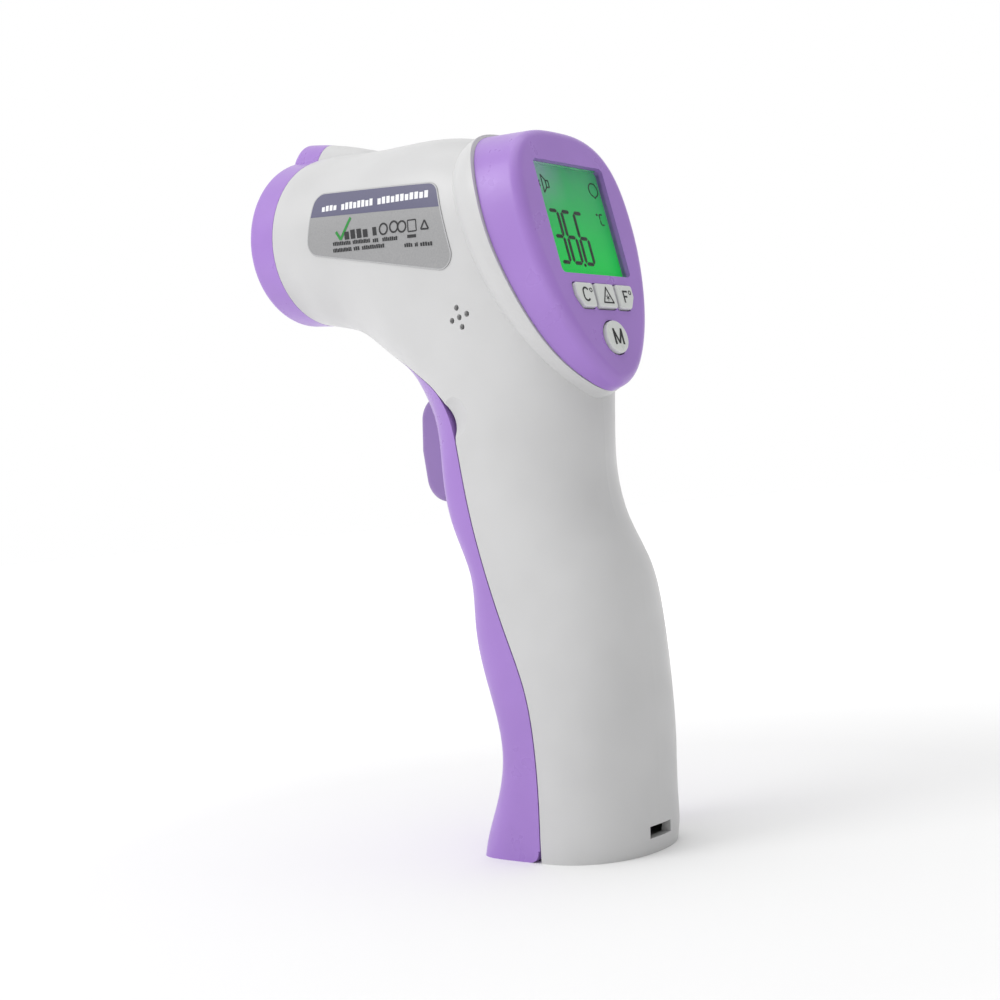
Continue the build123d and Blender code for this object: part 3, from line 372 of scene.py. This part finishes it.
# ---------------------------------------------------------------- figures on the display
SEGMENTS_OF = {"3": "abcdg", "6": "acdefg", "C": "adef"}


def figure(char, left, low, width, height, stroke):
    """Seven-segment figure as six-sided bars with mitred ends and small gaps between them."""
    gap = stroke * 0.14
    h = stroke / 2
    mid = low + height / 2
    xs = (left + h, left + width - h)
    levels = {"a": low + height - h, "g": mid, "d": low + h}
    uprights = {
        "b": (xs[1], mid, levels["a"]), "c": (xs[1], levels["d"], mid),
        "e": (xs[0], levels["d"], mid), "f": (xs[0], mid, levels["a"]),
    }
    bars = []
    for name in SEGMENTS_OF[char]:
        if name in levels:
            y = levels[name]
            a, b = xs[0] + gap, xs[1] - gap
            bars.append([(a, y), (a + h, y + h), (b - h, y + h), (b, y), (b - h, y - h), (a + h, y - h)])
        else:
            x, low_end, top_end = uprights[name]
            a, b = low_end + gap, top_end - gap
            bars.append([(x, a), (x + h, a + h), (x + h, b - h), (x, b), (x - h, b - h), (x - h, a + h)])
    return bars


DIGIT_WIDTH = 3.7 * MM
DIGIT_HEIGHT = 12.7 * MM
DIGIT_STROKE = 0.85 * MM
DIGIT_PITCH = 4.25 * MM
DIGITS_LEFT = -8.8 * MM
DIGITS_LOW = -10.0 * MM
FIGURE_THICKNESS = 0.05 * MM


def display_figures():
    """36.6, the unit, a speaker with sound waves and a round face outline."""
    marks = []
    for i, char in enumerate("366"):
        left = DIGITS_LEFT + i * DIGIT_PITCH
        marks += figure(char, left, DIGITS_LOW, DIGIT_WIDTH, DIGIT_HEIGHT, DIGIT_STROKE)
    point_x = DIGITS_LEFT + 2 * DIGIT_PITCH - (DIGIT_PITCH - DIGIT_WIDTH) / 2
    marks.append(disc(point_x, DIGITS_LOW + 0.1 * MM, 0.4 * MM))
    # unit
    marks += figure("C", 9.5 * MM, 0.1 * MM, 1.5 * MM, 2.8 * MM, 0.32 * MM)
    marks.append(disc(8.8 * MM, 2.6 * MM, 0.3 * MM))
    # round face outline with a chin
    marks += arc_strokes(10.0 * MM, 8.6 * MM, 1.6 * MM, -70, 250, 0.28 * MM, 28)
    marks.append(bar(9.45 * MM, 7.1 * MM, 10.0 * MM, 6.7 * MM, 0.28 * MM))
    marks.append(bar(10.0 * MM, 6.7 * MM, 10.55 * MM, 7.1 * MM, 0.28 * MM))
    # speaker
    x, y, w = -6.9 * MM, 8.4 * MM, 0.3 * MM
    back, half_back = x + 0.9 * MM, 0.8 * MM
    front, half_front = x - 1.2 * MM, 2.1 * MM
    box = [(back, y + half_back), (back, y - half_back), (x, y - half_back), (front, y - half_front)]
    box += [(front, y + half_front), (x, y + half_back)]
    for i, corner in enumerate(box):
        after = box[(i + 1) % len(box)]
        marks.append(bar(*corner, *after, w))
    marks.append(bar(x, y + half_back, x, y - half_back, w))
    for radius in (0.9, 1.8):
        marks += arc_strokes(x - 1.5 * MM, y, radius * MM, 130, 230, w, 8)
    return marks


display_place = on_face(face_frame("lcd_panel"))
ink_object(
    "display_figures", display_figures(), display_place, ink_black, "housing", FIGURE_THICKNESS
)


# ---------------------------------------------------------------- key legends
def letter_c(x, y, w, h, stroke):
    marks = arc_strokes(x, y + h / 2 - w / 2, w / 2, 30, 180, stroke, 10)
    marks += arc_strokes(x, y - h / 2 + w / 2, w / 2, 180, 330, stroke, 10)
    marks.append(bar(x - w / 2, y + h / 2 - w / 2, x - w / 2, y - h / 2 + w / 2, stroke))
    return marks


def letter_f(x, y, w, h, stroke):
    left = x - w / 2
    top = y + h / 2 - stroke / 2
    marks = [bar(left, y - h / 2, left, y + h / 2, stroke), bar(left, top, left + w, top, stroke)]
    marks.append(bar(left, y, left + w * 0.8, y, stroke))
    return marks


def letter_m(x, y, w, h, stroke):
    left, right, top, low = x - w / 2, x + w / 2, y + h / 2, y - h / 2
    slant = stroke * 0.85
    high, deep = top - slant / 2, low + slant / 2
    marks = [bar(left, low, left, top, stroke), bar(right, low, right, top, stroke)]
    marks += [bar(left, high, x, deep, slant), bar(right, high, x, deep, slant)]
    return marks


def laser_triangle(x, y, side, stroke):
    """Upright triangle with a dot and short rays in it."""
    height = side * 1.02
    corners = [(x - side / 2, y - height / 2), (x + side / 2, y - height / 2), (x, y + height / 2)]
    marks = [bar(*corners[i], *corners[(i + 1) % 3], stroke) for i in range(3)]
    marks += [disc(*corner, stroke / 2, 10) for corner in corners]
    centre = y - height * 0.18
    marks.append(disc(x, centre, stroke * 0.95, 12))
    for turn in range(0, 360, 60):
        c, s = math.cos(math.radians(turn + 30)), math.sin(math.radians(turn + 30))
        near, far = stroke * 1.2, stroke * 2.1
        marks.append(bar(x + near * c, centre + near * s, x + far * c, centre + far * s, stroke * 0.4))
    return marks


DEGREE_RADIUS = 0.42 * MM
LEGENDS = {
    "button_celsius": letter_c(-0.2 * MM, 0, 1.9 * MM, 2.9 * MM, 0.42 * MM)
    + arc_strokes(1.7 * MM, 1.0 * MM, DEGREE_RADIUS, 0, 360, 0.22 * MM, 14),
    "button_laser": laser_triangle(0.1 * MM, 0.1 * MM, 3.4 * MM, 0.34 * MM),
    "button_fahrenheit": letter_f(-0.2 * MM, 0, 1.5 * MM, 2.8 * MM, 0.42 * MM)
    + arc_strokes(1.5 * MM, 1.0 * MM, DEGREE_RADIUS, 0, 360, 0.22 * MM, 14),
    "button_mode": letter_m(0.1 * MM, 0, 2.7 * MM, 3.6 * MM, 0.62 * MM),
}
for node_name, marks in LEGENDS.items():
    body = NODES[node_name]["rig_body"]
    legend = "legend_" + node_name.split("_")[1]
    ink_object(legend, marks, on_face(face_frame(node_name)), ink_black, body)


def trigger_coil():
    """The trigger's return spring, copied onto the housing in place of the spring part, which is hidden."""
    coil = bpy.data.objects.new("trigger_coil", NODES["trigger_spring"].data.copy())
    bpy.context.scene.collection.objects.link(coil)
    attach(coil, "housing")
    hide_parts("trigger_spring")
    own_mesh(coil)


trigger_coil()


# ---------------------------------------------------------------- prints on the side label
LABEL_MESH = NODES["side_label"].data
LABEL_TREE = BVHTree.FromPolygons(
    [v.co.copy() for v in LABEL_MESH.vertices], [p.vertices[:] for p in LABEL_MESH.polygons]
)
LABEL_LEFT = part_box("side_label")[0].y
LABEL_CELL = 1.2 * MM


def on_label(x, z, stand_off):
    """Point over the label's outer face, met by going in from the left."""
    hit, normal, _, _ = LABEL_TREE.ray_cast(Vector((x, LABEL_LEFT - 10 * MM, z)), Y_AXIS)
    if hit is None:
        hit, normal, _, _ = LABEL_TREE.find_nearest(Vector((x, LABEL_LEFT, z)))
    if normal.y > 0:
        normal = -normal
    return hit + normal * stand_off


def label_print(name, outlines, material, stand_off):
    """Ink on the curved label, from convex outlines in (x, z) that are cut into cells to follow the curve."""
    bm = bmesh.new()
    for outline in outlines:
        bm.faces.new([bm.verts.new((x, 0, z)) for x, z in outline])
    for axis in (Vector((1, 0, 0)), Vector((0, 0, 1))):
        values = [axis.dot(v.co) for v in bm.verts]
        at = min(values) + LABEL_CELL
        while at < max(values):
            everything = bm.verts[:] + bm.edges[:] + bm.faces[:]
            bmesh.ops.bisect_plane(bm, geom=everything, plane_co=axis * at, plane_no=axis)
            at += LABEL_CELL
    for v in bm.verts:
        v.co = on_label(v.co.x, v.co.z, stand_off)
    for face in bm.faces:
        face.smooth = True
    mesh = bpy.data.meshes.new(name)
    bm.to_mesh(mesh)
    bm.free()
    piece = bpy.data.objects.new(name, mesh)
    bpy.context.scene.collection.objects.link(piece)
    mesh.materials.append(material)
    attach(piece, "housing")
    return piece


LABEL_CORNERS = [
    (x * MM, z * MM) for x, z in ((-49.7, 154.1), (-12.1, 149.2), (-7.7, 128.4), (-53.1, 140.0))
]
LABEL_ROUNDING = 3.2 * MM
LABEL_EDGE = 0.3 * MM
BAND_HEIGHT = 148.35 * MM  # of the line under the band, at BAND_START
BAND_START = -50.2 * MM
BAND_SLOPE = 0.126


def rounded(corners, radius, inset, steps=7):
    """Outline with rounded corners, drawn in by inset about the centres of the roundings."""
    points = []
    for i, corner in enumerate(corners):
        here = Vector(corner)
        before = (Vector(corners[i - 1]) - here).normalized()
        after = (Vector(corners[(i + 1) % len(corners)]) - here).normalized()
        half = before.angle(after) / 2
        centre = here + (before + after).normalized() * radius / math.sin(half)
        start = here + before * radius / math.tan(half) - centre
        end = here + after * radius / math.tan(half) - centre
        turn = start.angle(end)
        for k in range(steps + 1):
            t = k / steps
            way = start * math.sin((1 - t) * turn) + end * math.sin(t * turn)
            points.append(tuple(centre + way.normalized() * (radius - inset)))
    return points


def band_line(x):
    """Height of the line between the label's dark band and its grey field."""
    return BAND_HEIGHT - BAND_SLOPE * (x - BAND_START)


def above(outline, line):
    """Part of a convex outline that lies above a line."""
    kept = []
    for i, (x, z) in enumerate(outline):
        after_x, after_z = outline[(i + 1) % len(outline)]
        here, there = z - line(x), after_z - line(after_x)
        if here > 0:
            kept.append((x, z))
        if here * there < 0:
            t = here / (here - there)
            kept.append((x + t * (after_x - x), z + t * (after_z - z)))
    return kept


def word(x0, x1, base, slope, height, blocks):
    """Unreadable word: a row of plain blocks on a sloping base line; base is its height at x0."""
    pitch = (x1 - x0) / blocks
    pieces = []
    for i in range(blocks):
        left, right = x0 + i * pitch, x0 + (i + 0.74) * pitch
        low = base - slope * i * pitch
        top = base + height * (1 if i % 3 else 0.86) - slope * i * pitch
        lean = slope * (right - left)
        pieces.append([(left * MM, low * MM), (right * MM, (low - lean) * MM)])
        pieces[-1] += [(right * MM, (top - lean) * MM), (left * MM, top * MM)]
    return pieces


def label_strokes(points, width, closed=False):
    """Straight strokes from point to point, in millimetres."""
    ends = list(zip(points, points[1:] + points[:1]))
    if not closed:
        ends.pop()
    return [bar(a * MM, b * MM, c * MM, d * MM, width * MM) for (a, b), (c, d) in ends]


def label_rings(places, width):
    """Round outlines at places, given as x, z and radius in millimetres."""
    pieces = []
    for x, z, radius in places:
        pieces += arc_strokes(x * MM, z * MM, radius * MM, 0, 360, width * MM, 20)
    return pieces


label_outer = rounded(LABEL_CORNERS, LABEL_ROUNDING, 0.02 * MM)
label_inner = rounded(LABEL_CORNERS, LABEL_ROUNDING, LABEL_EDGE)
rim = []
for k, corner in enumerate(label_outer):
    nearby = (k + 1) % len(label_outer)
    rim.append([corner, label_outer[nearby], label_inner[nearby], label_inner[k]])
label_print("label_edge", rim, ink_edge, PRINT)
label_print("label_band", [above(label_inner, band_line)], ink_band, PRINT)
heading = word(-47.0, -41.9, 149.1, 0.084, 1.3, 4)
heading += word(-40.6, -30.2, 148.3, 0.084, 1.6, 8) + word(-29.0, -13.8, 147.3, 0.084, 1.6, 11)
label_print("label_heading", heading, ink_white, 2 * PRINT)
tick = label_strokes([(-42.6, 143.6), (-41.3, 141.6), (-37.6, 146.0)], 0.7)
label_print("label_tick", tick, ink_green, 2 * PRINT)
marks = word(-40.0, -32.1, 141.3, 0.089, 2.1, 4) + word(-31.0, -29.4, 140.6, 0.089, 2.2, 1)
marks += label_rings([(-27.6, 141.5, 1.2), (-24.4, 141.4, 1.2), (-22.0, 141.0, 1.2)], 0.42)
marks += label_strokes([(-20.2, 139.5), (-20.2, 142.0), (-17.8, 141.8), (-17.8, 139.3)], 0.28, closed=True)
marks += label_strokes([(-20.6, 138.5), (-18.0, 138.2)], 0.7)
marks += label_strokes([(-16.5, 139.4), (-14.3, 139.1), (-15.3, 141.2)], 0.4, closed=True)
label_print("label_marks", marks, ink_black, 2 * PRINT)
lines = word(-44.0, -38.2, 140.6, 0.115, 0.9, 10) + word(-37.6, -32.0, 139.9, 0.115, 0.9, 11)
lines += word(-31.2, -29.4, 139.1, 0.115, 0.9, 3) + word(-28.2, -23.5, 138.8, 0.115, 0.9, 8)
lines += word(-44.3, -38.2, 139.1, 0.105, 0.9, 12) + word(-37.6, -35.6, 138.4, 0.105, 0.9, 3)
lines += word(-34.9, -27.7, 138.1, 0.105, 0.9, 11) + word(-21.7, -19.2, 136.3, 0.13, 0.9, 4)
lines += word(-18.6, -17.6, 135.9, 0.13, 0.9, 2) + word(-17.0, -13.4, 135.7, 0.13, 0.9, 5)
label_print("label_lines", lines, ink_black, 2 * PRINT)


# ---------------------------------------------------------------- stage
CAMERA_PLACE = Vector((208.6, -262.1, 78.3)) * MM
CAMERA_AZIMUTH = 40.82
CAMERA_ROLL = 5.34
CAMERA_LENS = 54.0
LIGHT_TARGET = Vector((-0.01, 0, 0.1))
KEY_POWER = 2.6
TOP_POWER = 2.4
FLOOR_RADIUS = 6.0
FLOOR_RINGS = 24
FLOOR_SPOKES = 96
FLOOR_NEAR = 0.12
FLOOR_FAR = 0.5
FLOOR_LIFT = 0.28
ROOM_BRIGHT = 1.0  # towards the muzzle
ROOM_DIM = 0.4  # on the display's side


def camera():
    data = bpy.data.cameras.new("camera")
    data.lens = CAMERA_LENS
    data.sensor_width = 36.0
    data.clip_start = 0.01
    data.clip_end = 20
    view = bpy.data.objects.new("camera", data)
    bpy.context.scene.collection.objects.link(view)
    level = Matrix.Rotation(math.radians(CAMERA_AZIMUTH), 4, "Z") @ Matrix.Rotation(math.radians(90), 4, "X")
    roll = Matrix.Rotation(math.radians(-CAMERA_ROLL), 4, "Z")
    view.matrix_world = Matrix.Translation(CAMERA_PLACE) @ level @ roll
    bpy.context.scene.camera = view


def ground():
    """Wide pale floor disc, a little brighter far out so that it runs into the background."""
    bm = bmesh.new()
    centre = bm.verts.new((0, 0, 0))
    turns = [2 * math.pi * k / FLOOR_SPOKES for k in range(FLOOR_SPOKES)]
    rows = []
    for i in range(1, FLOOR_RINGS + 1):
        reach = FLOOR_RADIUS * (i / FLOOR_RINGS) ** 2
        rows.append([bm.verts.new((reach * math.cos(t), reach * math.sin(t), 0)) for t in turns])
    for k in range(FLOOR_SPOKES):
        after = (k + 1) % FLOOR_SPOKES
        bm.faces.new((centre, rows[0][k], rows[0][after]))
        for near, far in zip(rows, rows[1:]):
            bm.faces.new((near[k], far[k], far[after], near[after]))
    mesh = bpy.data.meshes.new("floor")
    bm.to_mesh(mesh)
    bm.free()
    floor = bpy.data.objects.new("floor", mesh)
    bpy.context.scene.collection.objects.link(floor)
    s = Shader("floor")
    length = s.add("ShaderNodeVectorMath", operation="LENGTH")
    s.link(s.place, length.inputs[0])
    far = s.spread(length.outputs["Value"], 0, 1, FLOOR_NEAR, FLOOR_FAR)
    near_white = s.blend(s.noise(0.4), (0.87, 0.87, 0.87), (0.89, 0.89, 0.89))
    s.to("Base Color", s.blend(far, near_white, (0.97, 0.97, 0.97)))
    s.to("Emission Strength", s.spread(far, 0, FLOOR_LIFT, 0, 1))
    s.set(Roughness=0.9, Emission_Color=(1, 1, 1, 1))
    mesh.materials.append(s.material)


def softbox(name, place, size, power):
    data = bpy.data.lights.new(name, "AREA")
    data.shape = "RECTANGLE"
    data.size, data.size_y = size
    data.energy = power
    light = bpy.data.objects.new(name, data)
    bpy.context.scene.collection.objects.link(light)
    light.location = place
    light.rotation_euler = (LIGHT_TARGET - light.location).to_track_quat("-Z", "Y").to_euler()


def studio():
    """Even white surroundings, dimmer on the display's side, and two softboxes for gentle highlights."""
    softbox("key", (-0.45, -0.75, 0.75), (0.5, 0.5), KEY_POWER)
    softbox("top", (0.05, -0.1, 1.0), (0.9, 0.9), TOP_POWER)
    world = bpy.data.worlds.new("studio")
    world.use_nodes = True
    tree = world.node_tree
    place = tree.nodes.new("ShaderNodeTexCoord")
    split = tree.nodes.new("ShaderNodeSeparateXYZ")
    fall = tree.nodes.new("ShaderNodeMapRange")
    fall.inputs["From Min"].default_value = -0.2
    fall.inputs["From Max"].default_value = 0.9
    fall.inputs["To Min"].default_value = ROOM_BRIGHT
    fall.inputs["To Max"].default_value = ROOM_DIM
    tree.links.new(place.outputs["Generated"], split.inputs["Vector"])
    tree.links.new(split.outputs["X"], fall.inputs["Value"])
    tree.links.new(fall.outputs["Result"], tree.nodes["Background"].inputs["Strength"])
    tree.nodes["Background"].inputs["Color"].default_value = (1, 1, 1, 1)
    bpy.context.scene.world = world
    bpy.context.scene.view_settings.view_transform = "Standard"


camera()
ground()
studio()
